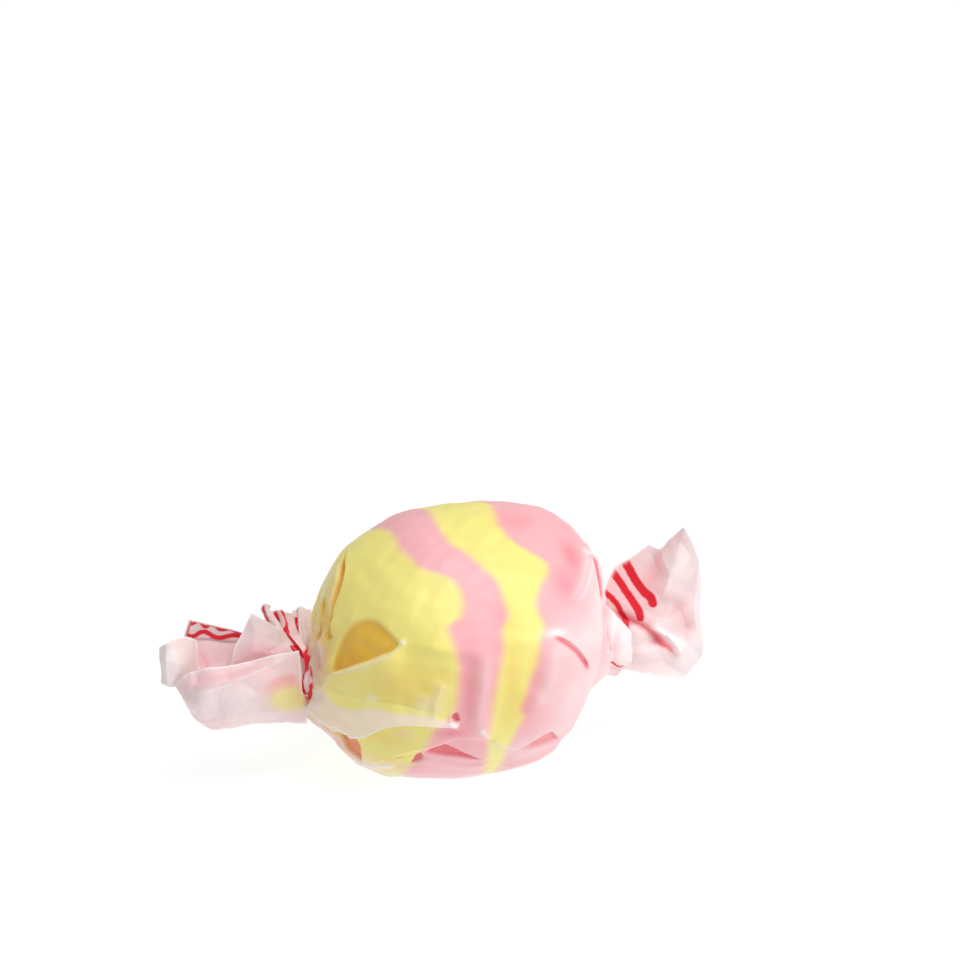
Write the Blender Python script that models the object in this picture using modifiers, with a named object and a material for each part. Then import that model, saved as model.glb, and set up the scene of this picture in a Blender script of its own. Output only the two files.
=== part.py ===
"""Twist-wrapped taffy: a soft block of candy inside one sheet of waxed paper.

The paper is a single tube. It clings to the block, is gathered into a narrow twisted neck at each end,
and opens beyond each neck into a crumpled tail. The tube is open from one tail to the other.
X runs along the candy, -Y is the side that faces the viewer, and Z is up.
Sizes are in millimetres and turn into metres when a mesh is made. Angles round the X axis start at -Y
and go over the top. Places are measured from the middle of the block until the finished part is stood
on its origin.
"""
import math

import bmesh
import bpy
from mathutils import Vector

MM = 0.001

# Waxed paper, thicker here than the real sheet so that it is a sound solid
PAPER = 0.3
PAPER_TO_TAFFY = 0.4

# Block of taffy, a rounded square in section that lies on one of its soft corners
CORNER_RADIUS = 11.3
SECTION_POWER = 2.5
CORNER_ANGLE = math.radians(22)
REST_DEPTH = 10.6

# Ends of the block as half length and squareness, at the upper and the lower outline
UPPER_OUTLINE = math.radians(112)
END_FORMS = {
    -1: {"upper": (12.0, 2.2), "lower": (12.7, 2.6)},
    1: {"upper": (12.5, 3.0), "lower": (10.9, 2.6)},
}

# Twisted necks
NECK_RADIUS = 1.6
NECK_LENGTH = 0.6
NECK_CENTRES = {-1: Vector((-12.9, 0.0, -3.2)), 1: Vector((12.9, 1.0, -3.0))}
GATHER_FROM = math.radians(50)

# Pleats that run from the necks onto the block
PLEATS = 9
PLEAT_HEIGHT = 0.5
PLEAT_START = math.radians(28)
PLEAT_RISE = math.radians(25)
PLEAT_FADE_FROM = math.radians(72)
PLEAT_FADE = math.radians(18)
PLEAT_SWIRL = 0.8
PLEAT_UNEVENNESS = 1.3

# Hollow where the paper sinks in beside the left neck
DIMPLE_DEPTH = 1.0
DIMPLE_TURN = math.radians(-50)
DIMPLE_ANGLE = math.radians(20)
DIMPLE_SPREAD = (math.radians(15), math.radians(20))

# Corners of the tails, in order round the tube from the front over the top
LEFT_BELLY = (
    (-16.8, -2.6, -1.6), (-15.0, -2.3, -0.6), (-14.0, -1.2, 0.4), (-13.9, 0.5, 1.0),
    (-14.7, 1.6, 0.6), (-15.8, 2.1, -0.4), (-17.4, 1.9, -1.6), (-19.2, 1.9, -2.8),
    (-20.6, 1.0, -4.2), (-21.0, -0.4, -5.1), (-19.9, -1.8, -4.8), (-18.4, -2.6, -3.2),
)
LEFT_MOUTH = (
    (-18.0, -2.9, 1.3), (-14.6, -2.5, 1.9), (-13.7, -0.8, 2.6), (-13.7, 0.8, 4.0),
    (-15.8, 1.4, 4.5), (-18.0, 2.1, 2.1), (-22.4, 1.3, 3.6), (-23.0, 1.6, 2.3),
    (-24.9, 0.4, 2.2), (-25.1, -0.9, -0.3), (-24.0, -2.0, -0.5), (-21.4, -2.9, 0.7),
)
RIGHT_THROAT = (
    (16.6, -1.5, 0.4), (16.0, -0.9, 3.4), (14.8, 0.4, 3.6), (14.0, 1.6, 3.0),
    (14.2, 2.6, 1.8), (15.4, 2.3, 0.2), (15.8, 2.8, -1.8), (15.4, 2.4, -3.8),
    (15.4, 1.1, -4.6), (15.6, -0.2, -4.8), (16.2, -1.2, -4.4), (16.8, -1.6, -1.8),
)
RIGHT_MOUTH = (
    (20.7, -2.0, 2.4), (19.4, -1.0, 7.9), (17.7, 0.7, 6.0), (16.7, 1.9, 5.9),
    (17.4, 2.8, 3.1), (19.4, 1.8, 0.4), (18.2, 2.9, -2.6), (16.8, 2.4, -4.6),
    (17.0, 1.2, -5.2), (17.6, -0.2, -5.4), (18.9, -1.7, -5.1), (20.7, -1.4, -2.2),
)

# Mesh counts
ROUND = 48
BLOCK_RINGS = 27
TAIL_RINGS = 7
TAFFY_ROUND = 32
TAFFY_RINGS = 20

# Colours seen through the paper and of the paper itself
TAFFY_COLOUR = (0.96, 0.62, 0.55, 1.0)
PAPER_COLOUR = (0.93, 0.89, 0.88, 1.0)


def ease(value):
    """Smooth step from 0 to 1."""
    value = min(max(value, 0.0), 1.0)
    return value * value * (3 - 2 * value)


def mix(first, second, share):
    """Blend of two numbers or two vectors."""
    return first * (1 - share) + second * share


def angle_between(first, second):
    """Signed difference of two angles, from -pi to pi."""
    return math.remainder(first - second, 2 * math.pi)


def outward(angle):
    """Unit vector across the X axis in one direction round it."""
    return Vector((0.0, -math.cos(angle), math.sin(angle)))


def section_radius(angle):
    """Radius of the rounded square section, whose corner points along CORNER_ANGLE."""
    turned = angle - CORNER_ANGLE + math.pi / 4
    total = abs(math.cos(turned)) ** SECTION_POWER + abs(math.sin(turned)) ** SECTION_POWER
    to_corner = 2 ** (1 / SECTION_POWER - 0.5)
    return CORNER_RADIUS * to_corner * total ** (-1 / SECTION_POWER)


def end_form(side, angle):
    """Half length and squareness of one end, blended from the lower to the upper outline."""
    share = 0.5 + 0.5 * math.cos(angle - UPPER_OUTLINE)
    upper = END_FORMS[side]["upper"]
    lower = END_FORMS[side]["lower"]
    return mix(lower[0], upper[0], share), mix(lower[1], upper[1], share)


def pleat_height(turn, angle):
    """How far a pleat lifts the paper off the block, never less than nothing."""
    start = ease((abs(turn) - PLEAT_START) / PLEAT_RISE)
    fade = 1 - ease((abs(turn) - PLEAT_FADE_FROM) / PLEAT_FADE)
    swirl = PLEAT_SWIRL * abs(turn)
    wave = 0.5 + 0.5 * math.cos(PLEATS * (angle + swirl) + PLEAT_UNEVENNESS * math.sin(2 * angle))
    return PLEAT_HEIGHT * start * fade * wave


def dimple_depth(turn, angle):
    """Depth of the hollow beside the left neck."""
    along = (turn - DIMPLE_TURN) / DIMPLE_SPREAD[0]
    around = angle_between(angle, DIMPLE_ANGLE) / DIMPLE_SPREAD[1]
    return DIMPLE_DEPTH * math.exp(-along * along - around * around)


def block_point(turn, angle, inset=0.0, lift=0.0):
    """Point of the block where turn goes from the left end at -90 degrees to the right end at 90."""
    side = -1 if turn < 0 else 1
    half_length, power = end_form(side, angle)
    level = abs(math.cos(turn))
    reach = abs(math.sin(turn))
    stretch = (level ** power + reach ** power) ** (-1 / power)
    change = lift - inset - dimple_depth(turn, angle)
    along = (half_length + change) * stretch * reach * side
    point = outward(angle) * (section_radius(angle) + change) * stretch * level
    point.x = along
    return point


def rest_flat(point, inset=0.0):
    """Press a point up to the small flat that the candy rests on."""
    return Vector((point.x, point.y, max(point.z, inset - REST_DEPTH)))


def neck_ring(side, beyond=0.0):
    """Ring of the twisted neck at one end, some way beyond where it leaves the block."""
    angles = [2 * math.pi * step / ROUND for step in range(ROUND)]
    centre = NECK_CENTRES[side] + Vector((side * beyond, 0.0, 0.0))
    return [centre + outward(angle) * NECK_RADIUS for angle in angles]


def block_ring(turn):
    """Ring of paper round the block, drawn in towards a neck near each end."""
    side = -1 if turn < 0 else 1
    gather = ease((abs(turn) - GATHER_FROM) / (math.pi / 2 - GATHER_FROM))
    ring = []
    for step in range(ROUND):
        angle = 2 * math.pi * step / ROUND
        point = block_point(turn, angle, lift=pleat_height(turn, angle))
        along = mix(point.x, NECK_CENTRES[side].x, gather ** 3)
        point.x = 0.0
        radius = math.hypot(point.length, NECK_RADIUS * gather)
        drawn = outward(angle) * radius + NECK_CENTRES[side] * gather
        drawn.x = along
        ring.append(rest_flat(drawn))
    return ring


def corner_ring(corners):
    """Ring of straight folds through a tail's corners."""
    ring = []
    for step in range(ROUND):
        place = step * len(corners) / ROUND
        first = int(place)
        start = Vector(corners[first])
        end = Vector(corners[(first + 1) % len(corners)])
        ring.append(mix(start, end, place - first))
    return ring


def tail_rings(side, middle, mouth):
    """Rings of one tail, each point on a parabola from the neck through the middle corners to the mouth."""
    neck = neck_ring(side, NECK_LENGTH)
    rings = []
    for step in range(TAIL_RINGS + 1):
        share = step / TAIL_RINGS
        weights = ((1 - share) * (1 - 2 * share), 4 * share * (1 - share), share * (2 * share - 1))
        rings.append([a * weights[0] + b * weights[1] + c * weights[2]
                      for a, b, c in zip(neck, corner_ring(middle), corner_ring(mouth))])
    return rings


def wrapper_rings():
    """All rings of the paper from the left mouth to the right mouth."""
    turns = [math.pi * (step / (BLOCK_RINGS - 1) - 0.5) for step in range(BLOCK_RINGS)]
    rings = tail_rings(-1, LEFT_BELLY, LEFT_MOUTH)[::-1]
    rings += [block_ring(turn) for turn in turns]
    rings += tail_rings(1, RIGHT_THROAT, RIGHT_MOUTH)
    return rings


def loft(rings):
    """Open tube of faces between neighbouring rings, with its normals facing out."""
    mesh = bmesh.new()
    rows = [[mesh.verts.new(point * MM) for point in ring] for ring in rings]
    for row, following in zip(rows, rows[1:]):
        for step in range(len(row)):
            after = (step + 1) % len(row)
            mesh.faces.new((row[step], following[step], following[after], row[after]))
    return mesh


def make_material(name, colour, roughness):
    """Principled material of one colour."""
    material = bpy.data.materials.new(name)
    material.use_nodes = True
    shader = material.node_tree.nodes["Principled BSDF"]
    shader.inputs["Base Color"].default_value = colour
    shader.inputs["Roughness"].default_value = roughness
    shader.inputs["Metallic"].default_value = 0.0
    return material


def make_object(name, mesh, material, collection, parent):
    """Object made from a bmesh, shaded smooth and parented to the part's empty."""
    data = bpy.data.meshes.new(name)
    mesh.to_mesh(data)
    mesh.free()
    data.materials.append(material)
    data.shade_smooth()
    made = bpy.data.objects.new(name, data)
    made.parent = parent
    collection.objects.link(made)
    return made


def make_wrapper(collection, parent):
    """The sheet of waxed paper, a tube with a wall that goes inwards from its outer face."""
    paper = make_material("waxed_paper", PAPER_COLOUR, 0.45)
    wrapper = make_object("wrapper", loft(wrapper_rings()), paper, collection, parent)
    wall = wrapper.modifiers.new("wall", "SOLIDIFY")
    wall.thickness = PAPER * MM
    wall.offset = -1
    return wrapper


def make_taffy(collection, parent):
    """The block of candy, a sphere pushed out to the block's form just inside the paper."""
    inset = PAPER + PAPER_TO_TAFFY
    mesh = bmesh.new()
    bmesh.ops.create_uvsphere(mesh, u_segments=TAFFY_ROUND, v_segments=TAFFY_RINGS, radius=1.0)
    for vertex in mesh.verts:
        turn = math.asin(min(max(vertex.co.z, -1.0), 1.0))
        angle = math.atan2(vertex.co.y, -vertex.co.x)
        vertex.co = rest_flat(block_point(turn, angle, inset=inset), inset) * MM
    candy = make_material("taffy", TAFFY_COLOUR, 0.5)
    return make_object("taffy", mesh, candy, collection, parent)


def stand_on_origin(parent, measured):
    """Move the part so that the middle of its box's underside is the origin."""
    points = [vertex.co for vertex in measured.data.vertices]
    low = [min(point[axis] for point in points) for axis in range(3)]
    high = [max(point[axis] for point in points) for axis in range(3)]
    parent.location = (-(low[0] + high[0]) / 2, -(low[1] + high[1]) / 2, -low[2])


def main():
    for existing in list(bpy.data.objects):
        bpy.data.objects.remove(existing)
    collection = bpy.data.collections.new("wrapped_taffy")
    bpy.context.scene.collection.children.link(collection)
    frame = bpy.data.objects.new("taffy_frame", None)
    collection.objects.link(frame)
    wrapper = make_wrapper(collection, frame)
    make_taffy(collection, frame)
    stand_on_origin(frame, wrapper)


main()
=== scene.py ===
"""Looks of a twist-wrapped taffy: waxed paper over a pink and yellow block, with two crumpled tails.

Lengths in the constants are millimetres and angles are degrees. A place on the block is a pair
(turn, angle): turn runs from -90 at the left neck to 90 at the right one, and angle goes round the X axis
from the viewer's side over the top. Other places are measured from the middle of the block.
"""
import math
from collections import namedtuple

import bpy
import numpy as np
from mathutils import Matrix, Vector


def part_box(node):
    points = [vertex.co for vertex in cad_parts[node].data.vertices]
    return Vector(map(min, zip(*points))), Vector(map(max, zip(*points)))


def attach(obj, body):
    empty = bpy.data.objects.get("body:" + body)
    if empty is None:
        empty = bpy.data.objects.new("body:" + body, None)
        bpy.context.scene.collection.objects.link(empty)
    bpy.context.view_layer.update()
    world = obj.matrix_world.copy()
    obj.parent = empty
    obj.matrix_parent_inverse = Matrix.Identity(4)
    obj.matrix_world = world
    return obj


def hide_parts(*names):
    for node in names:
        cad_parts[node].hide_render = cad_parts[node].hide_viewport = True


MM = 0.001
BODY = "root"

# Block of taffy, with the same form as the solid
CORNER_RADIUS = 11.3
SECTION_POWER = 2.5
CORNER_ANGLE = math.radians(22)
REST_DEPTH = 10.6
UPPER_OUTLINE = math.radians(112)
END_FORMS = {
    -1: {"upper": (12.0, 2.2), "lower": (12.7, 2.6)},
    1: {"upper": (12.5, 3.0), "lower": (10.9, 2.6)},
}
TAFFY_INSET = 0.9
DIMPLE_DEPTH = 1.0
DIMPLE_PLACE = (-50, 20)
DIMPLE_SPREAD = (15, 20)

# Necks, which close in a pucker behind the tails
NECK_RADIUS = 1.6
NECK_CENTRES = {-1: (-12.9, 0.0, -3.2), 1: (12.9, 1.0, -3.0)}
NECK_REACH = 1.6
NECK_FLARE = 0.35
NECK_CLOSES_FROM = 0.55
NECK_PUCKER = 0.6
NECK_SHUTS = 0.97
GATHER_FROM = math.radians(50)
LEFT_REACH = 25.1

# Edges of the colour bands as (angle, turn) all the way round the block
FIRST_EDGE = (
    (-60, -27), (-45, -25), (-30, -22), (-20, -20), (-11, -14), (1, -13), (9, -13), (17, -14), (24, -15),
    (29, -16), (31, -11), (36, -9), (43, -7.5), (50, -10), (55, -16), (60, -21.5), (75, -26), (90, -27),
    (105, -31), (130, -37), (160, -35), (190, -24), (220, -13), (255, -16), (300, -27),
)
SECOND_EDGE = (
    (-60, 3), (-40, 1.5), (-30, 0.4), (-21, 0.7), (-12, 0.6), (-4, 0.8), (4, 1.9), (13, 3.6), (20, 4),
    (26, 5.4), (30, 9), (33, 8.6), (41, 7.5), (46, 6), (54, 1.5), (63, -2), (70, -6.7), (86, -9.5),
    (100, -10), (130, -17), (160, -20), (190, -9), (220, 3), (255, 5), (300, 3),
)
THIRD_EDGE = (
    (-60, 8), (-38, 10), (-32, 11), (-25, 12.7), (-17, 15.3), (-13, 12), (-7, 14), (2, 16.5), (10, 19),
    (19, 20), (23, 21.6), (26, 21), (32, 19), (35, 19), (41, 22.3), (48, 25.5), (55, 26.5), (60, 23.5),
    (65, 19), (71, 15), (80, 13.4), (97, 15), (130, 9), (160, 4), (190, 13), (220, 26), (255, 20), (300, 8),
)
BAND_BLUR = 0.5
BLOCK_RADIUS = 11.0
EDGE_SMOOTHING = 13

# A fold follows a path of places. Left and right are (height, width) on either side of the path as seen
# from outside while going along it. The next two are (strength, width): first of the paper's milky look
# where it stands off the taffy together with painted highlights on ridges and edges, then of painted warm
# shade in hollows and creases. Crisp is 1 for a sharp fold and 2 for a round one.
Fold = namedtuple("Fold", "path left right white deep crisp", defaults=((0, 1),) * 4 + (1.3,))

BODY_FOLDS = (
    # Crest where light meets shade
    Fold(((-32, 24), (-26, 22), (-19, 19), (-14, 18), (-6, 18), (4, 18), (12, 20), (22, 20)),
         (0.45, 1.5), (0.45, 1.4), crisp=1.2),
    # Face beside the left shoulder's valleys, with painted shade in the valleys and painted highlights on
    # ridges
    Fold(((-43, 108), (-47, 96), (-50, 84), (-54, 74), (-59, 66), (-62, 54), (-65, 42)), (0.35, 1.1)),
    Fold(((44, 84), (50, 72), (54, 60), (58, 46), (60, 34)), (0.35, 2.0), (0.35, 2.0), crisp=2),
    Fold(((-50, 104), (-55, 92), (-60, 80), (-64, 70)), (0.2, 0.6), (0.2, 0.7), white=(0.2, 0.4)),
    Fold(((-62, 104), (-67, 94), (-71, 82), (-74, 68)), (-0.35, 0.35), (-0.35, 0.4), deep=(0.8, 0.35)),
    Fold(((-62, 70), (-64, 60), (-66, 48)), (-0.2, 0.3), (-0.2, 0.3), deep=(0.9, 0.3)),
    Fold(((-67, 76), (-69, 62), (-71, 46), (-73, 30)), (0.15, 0.3), (0.15, 0.3), white=(0.5, 0.3)),
    # Lower ridge of the hollow, with a painted highlight along it
    Fold(((-74, 6), (-66, 13), (-58, 11), (-50, 13), (-42, 17), (-37, 19.5), (-33, 23)),
         (0.1, 0.25), (0.55, 1.6), white=(0.35, 0.3)),
    Fold(((-34, 25), (-31.5, 22.5)), (0.12, 0.3), (0.12, 0.3), white=(0.55, 0.25)),
    # Soft ridges on the lower left above the band
    Fold(((-18, 6), (-20, -3), (-20.5, -10), (-20, -15)),
         (0.14, 0.7), (0.18, 0.5), white=(0.22, 0.6), crisp=2),
    Fold(((-24, 0), (-25, -6), (-26, -12)), (0.06, 0.6), (0.08, 0.6), white=(0.25, 0.7), crisp=2),
    Fold(((-46, -12), (-44, -4), (-42, -11)), white=(0.35, 0.3)),
    # Ridge down the middle band, with a painted highlight along it
    Fold(((-2, 19), (-3, 11), (-3.3, 3), (-4, -5), (-4.5, -13), (-3.5, -20), (1, -29)),
         (0.26, 1.0), (0.28, 0.8), white=(0.2, 0.6), crisp=2),
    Fold(((-4, -19), (-1.5, -24), (1, -29)), (0.1, 0.3), (0.1, 0.2), white=(0.6, 0.2)),
    # Pucker where the folds meet
    Fold(((-15.5, -14), (-13.5, -17), (-11.5, -17.5)), (0.25, 0.25), (0.25, 0.25), white=(1.3, 0.25)),
    # Overlap near the bottom with a thin painted highlight on its edge, and painted shade in the crease below
    # it
    Fold(((-43, -60), (-38, -53), (-35, -46), (-29, -38), (-24, -33), (-17, -29), (-12, -26.5), (-6, -27),
          (1, -29)), (0.35, 1.5), (0.0, 1), white=(0.7, 0.14)),
    Fold(((-36, -49), (-34, -45), (-29, -40.5)), (0.0, 1), (-0.1, 0.3), deep=(0.9, 0.25)),
    Fold(((-46, -62), (-41, -66), (-36, -57), (-31, -48)), (0.1, 0.5), (0.15, 0.3), white=(0.9, 0.3)),
    Fold(((1, -29), (5, -33), (9, -36), (14, -40)), (0.2, 0.8), (0.0, 1), white=(0.4, 0.25)),
    Fold(((-24, -37), (-15, -42), (-6, -46), (4, -47)), (-0.1, 0.5), (0.25, 1.0), white=(0.2, 0.8)),
    # Layers along the lower left edge, with thin painted highlights on their edges and some painted shade
    Fold(((-84, -18), (-72, -45), (-60, -57), (-50, -64), (-42, -68), (-34, -70), (-24, -68)),
         (0.3, 0.7), (-0.05, 0.4), white=(0.7, 0.16)),
    Fold(((-82, -17), (-69, -39), (-59, -49), (-51, -56), (-45, -61), (-40, -66)),
         (0.25, 0.5), (-0.1, 0.3), white=(0.5, 0.14), deep=(0.2, 0.5)),
    # Small pleat and pale panel at the right shoulder, with a painted highlight on the pleat and a painted
    # shade line beside it
    Fold(((48, 74), (47, 63), (44, 52), (40, 42), (34, 33)),
         (0.5, 1.3), (0.1, 0.6), white=(0.4, 0.4), crisp=1.1),
    Fold(((48, 70), (50, 59), (52, 50), (55, 38)), (-0.1, 0.3), (-0.3, 0.3), deep=(1.1, 0.24)),
    Fold(((45, 74), (50, 68), (54, 58), (57, 46)), (0.25, 0.4), (0.1, 0.3), white=(0.45, 0.35)),
    # Shadow line under the right lap
    Fold(((24, 20), (27, 19), (30, 17), (33, 14.5), (36, 11.5), (39, 7.5), (42, 3), (44, -3)),
         (0.0, 1), (-0.1, 0.2), deep=(1.3, 0.18)),
    # Ridges on the right and along the bottom, with painted highlights along them
    Fold(((24, 17), (25, 7), (23, -4), (18, -15)), (0.2, 1.4), (0.2, 0.9), white=(0.25, 0.8), crisp=2),
    Fold(((46, -2), (48, -12), (50, -26), (52, -40)), (0.15, 0.5), (0.0, 0.3), white=(0.3, 0.3)),
    Fold(((10, -54), (19, -55), (28, -56), (40, -60)), (0.2, 0.6), (-0.05, 0.4), white=(0.5, 0.25)),
)

# A pocket is a place where the paper sinks in between two lines of places, its rim and its ridge. Slopes are
# the widths of its walls at either line, shade is the strength of the painted warm shade in it, and pink
# replaces the share of pink.
Pocket = namedtuple("Pocket", "rim ridge depth slopes shade pink", defaults=(None,))

POCKETS = (
    # Leaf-shaped hollow beside the left neck
    Pocket(((-67, 15), (-66, 29), (-63, 38), (-57, 42), (-50, 43), (-44, 41), (-40, 37), (-36, 30),
            (-33, 24)),
           ((-67, 15), (-58, 12), (-50, 14), (-42, 18), (-37, 20), (-33, 24)), 0.3, (0.55, 0.2), 0.85),
    # Valley of the left shoulder
    Pocket(((-44.5, 105), (-47, 94), (-50, 84), (-53, 76), (-57, 69), (-62, 68)),
           ((-46, 108), (-51, 98), (-55, 89), (-58.5, 83), (-61.5, 76), (-63, 69)), 0.5, (0.1, 0.3), 1.5),
    # Sliver between the band and the outer layers
    Pocket(((-58, -41), (-53, -40), (-49, -40.5), (-45.5, -45), (-42.5, -60)),
           ((-58, -41), (-52.5, -51), (-49, -56), (-42.5, -60)), 0.3, (0.06, 0.12), 1.5, 0.6),
    # Tucks at the bottom
    Pocket(((-23, -36), (-20, -32.5), (-16.5, -30), (-13, -32), (-9, -35.5), (-4, -40), (2, -45)),
           ((-23, -36), (-17, -38.5), (-11, -40), (-4, -43), (2, -45)), 0.3, (0.06, 0.4), 1.5, 1.0),
    Pocket(((-26.5, -46), (-25.5, -39), (-23.5, -35.5)), ((-26.5, -46), (-22.5, -40), (-23.5, -35.5)),
           0.2, (0.12, 0.12), 1.0, 1.0),
    Pocket(((14, -40), (18, -38.5), (22, -35.5), (27, -33.5), (31, -36), (37, -49)),
           ((14, -40), (21, -43), (29, -45), (37, -49)), 0.35, (0.12, 0.6), 0.55, 1.0),
    # Notch of the pucker
    Pocket(((-15, -17), (-14.5, -12), (-12.5, -10)), ((-15, -17), (-11.5, -15.5), (-12.5, -10)),
           0.3, (0.15, 0.15), 0.9, 1.0),
)

# Places that are paler, from milky paper, painted highlights and painted light near the bottom; places
# darker in painted warm shade; pinker places; and places greyer in painted shade. Each is (turn, angle,
# spread along, spread round, strength).
PALE_AND_HIGHLIGHT_SPOTS = (
    (50, 38, 8, 24, 0.5), (40, 18, 13, 8, 0.35), (38, -14, 13, 24, 0.5), (24, -40, 18, 10, 0.4),
    (-78, 60, 7, 60, 0.15), (-62, -58, 18, 8, 0.4), (-45, -70, 26, 7, 0.3), (0, -66, 40, 9, 0.45),
    (62, -60, 14, 60, 0.55), (-8, 55, 10, 9, 0.15), (70, 120, 12, 60, 0.4), (-72, 160, 10, 60, 0.4),
    (46, 70, 1.6, 2.5, 0.4), (-78, -20, 8, 20, 0.5), (-73, 0, 6, 12, 0.3), (26, 21.5, 4.5, 1.8, 0.9),
    (56, 10, 5, 40, 0.3),
)
PAINTED_SHADE_SPOTS = (
    (18, 4, 3.5, 12, 0.35), (15, -12, 4, 8, 0.35), (6, 33, 5, 6, 0.2), (20, 84, 9, 8, 0.3),
    (-30, 2, 16, 14, 0.38), (8, 0, 4, 26, 0.32), (-8.5, 0, 3, 20, 0.38), (1, 0, 2, 16, 0.2),
    (-60, 18, 7, 7, 0.6), (-73, 48, 5, 24, 1.0), (-76, 4, 5, 12, 0.35), (-14, -22, 5, 2.5, 0.5),
    (-40, -30, 9, 5, 0.3),
    (-60, 88, 8, 16, 0.35), (-64, -46, 8, 4, 0.4), (42, 86, 6, 8, 0.15), (39, 62, 4.5, 12, 0.7),
    (33, 44, 5, 8, 0.5), (-66, 72, 5, 20, 0.4),
)
PINK_SPOTS = (
    (-73, 45, 4, 26, 0.35), (-31, -25, 3, 3, 0.35), (-62, -60, 20, 10, 0.95), (-50, -70, 20, 5, 0.8),
    (-50, 100, 5, 5, 0.2), (-28, -52, 10, 6, 0.35),
)
PAINTED_GREY_SHADE_SPOTS = ((-76, 55, 6, 50, 0.45), (-82, -10, 9, 35, 0.25))

# Loose laps of paper that lie on the block: the edge that joins the paper, the line where the lap turns
# milky, the free edge, how far the free edge stands off, how milky the lap becomes and how strong the
# painted highlight along its rim is
Lap = namedtuple("Lap", "name joined change free lift white rim")

LAPS = (
    Lap("band_lap",
        ((-84, 26), (-76, 22), (-70, 12), (-63, 3), (-54, -3), (-45, -4), (-34, -4), (-23, -7), (-13.5, -14)),
        ((-85, 4), (-76, 8), (-70, -2), (-61, -17), (-53, -18), (-44, -12), (-36, -11.5), (-24, -12),
         (-13, -16)),
        ((-87, -24), (-77, -32), (-68, -40), (-58, -44), (-52, -43), (-45, -34), (-38, -22), (-28, -17),
         (-12.5, -18)),
        0.45, 0.5, 0.9),
    Lap("right_lap",
        ((18, 26), (26, 33), (36, 34), (46, 30), (55, 20)),
        ((20, 22), (27, 23), (34, 20), (41, 13), (50, 3)),
        ((21, 22), (27, 20), (34, 15.5), (40, 8), (46, -3)),
        0.1, 0.0, 0.0),
)

# Pleats that run from the necks onto the block. Each one's start, swirl, height and width are drawn from
# ranges.
PLEATS = 15
PLEAT_SEED = 5
PLEAT_SHIFT = 0.3
PLEAT_STARTS = (48, 66)
PLEAT_SWIRLS = (0.3, 0.7)
PLEAT_HEIGHTS = (0.25, 0.6)
PLEAT_WIDTHS = (0.35, 0.75)
PLEAT_GROWTH = math.radians(22)
PLEAT_FULL_RADIUS = 4.0
PLEAT_LEAST = 0.4
PLEAT_CRISP = 1.3

# Net of the cluster behind the left neck, which is mostly hidden, in millimetres
NECK_CLUSTER = (
    ((-13.2, -0.2, -4.4), (-12.9, -1.6, -4.3), (-12.6, -1.8, -4.4)),
    ((-13.6, -0.6, -2.2), (-13.2, -2.0, -2.2), (-12.7, -2.9, -2.3)),
    ((-13.5, 0.2, -0.2), (-13.1, -1.0, -0.2), (-12.5, -1.8, -0.6)),
    ((-15.2, 1.6, 1.8), (-13.6, 1.1, 1.6), (-11.8, 2.2, 0.4)),
    ((-15.4, 2.2, 3.3), (-14.2, 1.8, 3.5), (-12.3, 2.8, 2.3)),
)

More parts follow.
